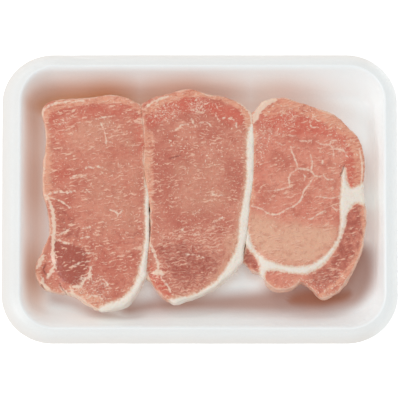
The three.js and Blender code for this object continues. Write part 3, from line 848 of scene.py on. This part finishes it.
def makeChop(name, chop, material):
    edge, inward = pressedEdge(chop)
    points, lean, fray = chopRings(chop, edge, inward)
    ringCount = len(points) // len(edge)
    outward = np.column_stack((np.tile(-inward, (ringCount, 1)), np.zeros(len(points))))
    world = points + (*chop["at"], 0)
    flat = points[:, :2]
    marks = {"fat": fatDepth(chop, flat), "stroke": strokeDepth(chop["strokes"], flat),
             "crack": strokeDepth(chop["cracks"], flat)}
    most, start, full = cut["smoother"]
    lumps = noiseSum(world, cut["lumps"]) * (1 - most * smoothStep(start, full, marks["fat"]))
    relief = noiseSum(world, cut["waves"]) + lumps
    for key, (rise, start, full) in cut["raised"].items():
        relief += rise * smoothStep(start, full, marks[key])
    depth, width = cut["groove"]
    relief -= depth * np.exp(-(marks["fat"] / width) ** 2)
    relief *= smoothStep(*cut["reliefFrom"], points[:, 2])
    facing = outward * lean + (1 - lean) * (0, 0, 1)
    facing /= np.linalg.norm(facing, axis=1)[:, None]
    fray = fray * noiseSum(world, cut["fray"])[:, None]
    placed = world + facing * relief[:, None] + outward * fray + (0, 0, cut["base"])
    poles = [np.array((*chop["at"], cut["base"] + z)) for z in (faceHeight(chop, 0, 0), 0)]
    piece = loftObject(f"{name}_chop", np.split(placed, ringCount), poles, material)
    giveValues(piece, {**marks, **{key: patchWeight(chop[key], flat) for key in cut["patches"]},
                       "rim": areaDepth(flat, edge[::cut["rimStep"]])})
    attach(piece, "root")
    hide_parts(*[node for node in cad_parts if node.startswith(f"{name}_chop_")])
    print(name, "chop made:", len(piece.data.polygons), "faces")


# Raw pork loin, cut across the fibres: a moist rosy lean that turns tan in places, with short pale
# fibre ends lying one way, wavy seams of marbling, connective tissue, and firm cream fat.
pork = {
    "leanLight": "#EEA58B", "leanDark": "#C66450", "deep": "#AC503F", "tan": "#F3C0A1",
    "rosy": "#E06B55", "peach": "#F5B192", "fibre": "#FBCBB0", "vein": "#FFE2CB",
    "fat": "#FFF3E6", "fatEdge": "#FBDFC9", "crack": "#8A3A28",
    "wanderSize": 5.0,
    "fibreStretch": (0.27, 1, 0.8),
    "shadeStep": (0, 0.55, 0),  # painted shade: each fibre end gets a darker copy just below it, as if it were raised
    "clustered": 0.35,
    # each noise: its size, its detail, and where it is drawn
    "noises": {
        "broad": (24, 2.0, "plain"), "patches": (9, 2.0, "plain"), "clusters": (8, 1.0, "plain"),
        "ragged": (1.6, 2.0, "plain"), "mottle": (3.0, 2.0, "wandering"),
        "flecks": (1.0, 0.5, "wandering"), "streaks": (1.05, 0.8, "long"),
        "shades": (1.05, 0.8, "below"),
    },
    # a net of pale threads, partly connective tissue and partly painted wet highlights, and wavy
    # fibre lines, which at scale 1 repeat every 0.314 mm
    "meshSize": 1.7,
    "thread": {"From Min": 0.2, "From Max": 0.02},
    "waves": {"Scale": 0.314 / 1.9, "Distortion": 11.0, "Detail": 2.0, "Detail Scale": 1.3},
    # painted glints: pale dots from the flecks, and this much more of them in the net's patches
    "netPaintedGlints": 0.16,
    # ragged edges for the seams, which are given in millimetres, and for the patches, which are
    # weights: the noise that shifts them, and how far
    "ragged": {"fat": ("ragged", 2.9), "crack": ("ragged", 0.8), "deep": ("mottle", 1.2),
               "tan": ("patches", 0.7), "rosy": ("mottle", 0.9), "peach": ("streaks", 1.5),
               "rim": ("patches", 5.0)},
    "fleckHeight": 1.2,
    "bump": {"Strength": 0.62, "Distance": 0.6 * mm},
    "sockets": {
        "Roughness": 0.4, "IOR": 1.38, "Coat Weight": 0.45, "Coat Roughness": 0.16,
        "Subsurface Weight": 0.12, "Subsurface Radius": (1.0, 0.4, 0.25),
        "Subsurface Scale": 1.5 * mm,
    },
}
# How each chop's lean differs: the way its fibres lie, in degrees, how far they wander, how much of
# each mark it shows, and how far in from the fat the lean pales, in millimetres
grainOf = {
    "left": {"lean": "#DA846D", "turn": 9.0, "wander": 3.2, "ragged": 2.9, "streaks": 0.85,
             "flecks": 0.55, "fade": 2.5},
    "middle": {"lean": "#D07B66", "turn": 5.0, "wander": 4.4, "ragged": 2.9, "streaks": 0.7,
               "flecks": 0.62, "fade": 3.5},
    "right": {"lean": "#E9917A", "turn": 15.0, "wander": 3.6, "ragged": 1.6, "streaks": 0.72,
              "flecks": 0.5, "fade": 0.8},
}


def porkMaterial(name):
    grain = grainOf[name]
    material, tree, shader = newMaterial(f"rawPorkLoin_{name}", pork["sockets"])
    spaces = {"plain": placeInMm(tree)}
    wander = addNode(tree, "TexNoise", {"Scale": 1 / pork["wanderSize"], "Detail": 2.0},
                     {"Vector": spaces["plain"]}, "Color")
    spaces["wandering"] = addNode(tree, "VectorMath", {"operation": "MULTIPLY_ADD",
                                  1: (grain["wander"],) * 3}, {0: wander, 2: spaces["plain"]})
    turned = addNode(tree, "VectorRotate", {"rotation_type": "Z_AXIS",
                     "Angle": math.radians(-grain["turn"])}, {"Vector": spaces["wandering"]})
    spaces["long"] = addNode(tree, "VectorMath", {"operation": "MULTIPLY", 1: pork["fibreStretch"]},
                             {0: turned})
    spaces["below"] = addNode(tree, "VectorMath", {"operation": "ADD", 1: pork["shadeStep"]},
                              {0: spaces["long"]})
    noises = {}
    for key, (size, detail, space) in pork["noises"].items():
        noises[key] = addNode(tree, "TexNoise", {"Scale": 1 / size, "Detail": detail},
                              {"Vector": spaces[space]})
    # the gaps between fibres lie everywhere, while streaks and their painted shades come in
    # clusters
    gap = noises["streaks"]
    for key in ("streaks", "shades"):
        noises[key] = addNode(tree, "Math", {"operation": "MULTIPLY_ADD", 1: pork["clustered"]},
                              {0: noises["clusters"], 2: noises[key]})
    given = {key: addNode(tree, "Attribute", {"attribute_name": key}, out="Fac")
             for key in ("fat", "stroke", "crack", "rim", *cut["patches"])}
    cells = addNode(tree, "TexVoronoi", {"feature": "DISTANCE_TO_EDGE",
                    "Scale": 1 / pork["meshSize"]}, {"Vector": spaces["wandering"]})
    threads = addNode(tree, "MapRange", pork["thread"], {"Value": cells})
    bands = addNode(tree, "TexWave", {"bands_direction": "Y", **pork["waves"]}, {"Vector": turned},
                    "Fac")
    drawn = {}
    for key, source in (("net", threads), ("waves", bands)):
        patchy = addNode(tree, "Math", {"operation": "MULTIPLY"}, {0: given[key], 1: source})
        drawn[key] = addNode(tree, "Math", {"operation": "MULTIPLY"},
                             {0: patchy, 1: noises["ragged"]})
    # painted glints on the wet surface
    drawn["sparks"] = addNode(tree, "Math", {"operation": "MULTIPLY_ADD", 1: pork["netPaintedGlints"]},
                              {0: given["net"], 2: noises["flecks"]})
    ragged = {}
    for key, (source, reach) in {**pork["ragged"], "stroke": ("ragged", grain["ragged"])}.items():
        shifted = addNode(tree, "Math", {"operation": "MULTIPLY_ADD", 1: reach, 2: -reach / 2},
                          {0: noises[source]})
        ragged[key] = addNode(tree, "Math", {"operation": "ADD"}, {0: shifted, 1: given[key]})
    # the fat is warmer in places
    isFat = addNode(tree, "MapRange", {"From Min": 0.0, "From Max": 1.0}, {"Value": ragged["fat"]})
    warmer = addNode(tree, "Math", {"operation": "MULTIPLY"}, {0: isFat, 1: noises["mottle"]})
    # each layer: what drives it, where it starts and is full, how much of it, and its colour
    layers = [
        (noises["broad"], 0.35, 0.65, 0.55, "leanLight"),
        (noises["patches"], 0.4, 0.68, 0.55, "leanDark"),
        (gap, 0.45, 0.25, 0.35, "leanDark"),
        (ragged["tan"], 0.1, 0.9, 0.85, "tan"),
        (ragged["rosy"], 0.1, 0.9, 0.75, "rosy"),
        (ragged["rim"], 3.0, 0.6, 0.45, "peach"),
        (ragged["peach"], 0.42, 1.15, 0.85, "peach"),
        (given["fat"], -grain["fade"], 0.0, 0.6, "tan"),
        (noises["mottle"], 0.48, 0.7, 0.3, "leanDark"),
        (gap, 0.5, 0.75, 0.25, "leanLight"),
        (drawn["waves"], 0.2, 0.55, 0.6, "fibre"),
        (noises["flecks"], 0.6, 0.76, grain["flecks"], "fibre"),
        # painted glints on the wet surface
        (drawn["sparks"], 0.7, 0.84, 0.7, "vein"),
        (ragged["deep"], 0.1, 0.9, 0.8, "deep"),
        # painted shade just below each streak
        (noises["shades"], 0.76, 0.94, 0.45 * grain["streaks"], "leanDark"),
        (noises["streaks"], 0.76, 0.94, grain["streaks"], "fibre"),
        # the net's pale threads, partly painted wet highlights
        (drawn["net"], 0.15, 0.5, 0.35, "vein"),
        (ragged["rim"], 1.1, 0.1, 0.55, "vein"),
        (ragged["stroke"], -0.6, 0.4, 0.85, "vein"),
        (ragged["fat"], -1.1, 0.2, 0.9, "fatEdge"),
        (ragged["fat"], -0.1, 1.3, 1.0, "fat"),
        (warmer, 0.55, 0.8, 0.5, "fatEdge"),
        (ragged["crack"], -0.4, 0.3, 0.6, "crack"),
    ]
    colour = None
    for source, low, high, most, shade in layers:
        mask = addNode(tree, "MapRange", {"interpolation_type": "SMOOTHSTEP", "From Min": low,
                       "From Max": high, "To Max": most}, {"Value": source})
        links = {0: mask, 6: colour} if colour else {0: mask}
        colour = addNode(tree, "Mix", {"data_type": "RGBA", 6: hexLinear(grain["lean"]),
                         7: hexLinear(pork[shade])}, links, 2)
    height = addNode(tree, "Math", {"operation": "MULTIPLY_ADD", 1: pork["fleckHeight"]},
                     {0: noises["flecks"], 2: gap})
    bump = addNode(tree, "Bump", pork["bump"], {"Height": height})
    tree.links.new(colour, shader.inputs["Base Color"])
    tree.links.new(bump, shader.inputs["Normal"])
    return material


# Table: a lit white sheet, so it stays white under the tray's own shadow
table = {
    "half": 8.0,  # metres
    "sockets": {
        "Base Color": hexLinear("#FAFAFA"),
        "Roughness": 0.9,
        "Emission Color": white,
        "Emission Strength": 0.4,
    },
}


def makeTable():
    mesh = bpy.data.meshes.new("table")
    half = table["half"]
    corners = [(-half, -half, 0), (half, -half, 0), (half, half, 0), (-half, half, 0)]
    mesh.from_pydata(corners, [], [(0, 1, 2, 3)])
    mesh.materials.append(newMaterial("opalTable", table["sockets"])[0])
    addObject("table", mesh)


makeCamera()
makeLights()
makeTable()
makeTray(foamMaterial())
for chopName, chopData in chops.items():
    makeChop(chopName, chopData, porkMaterial(chopName))
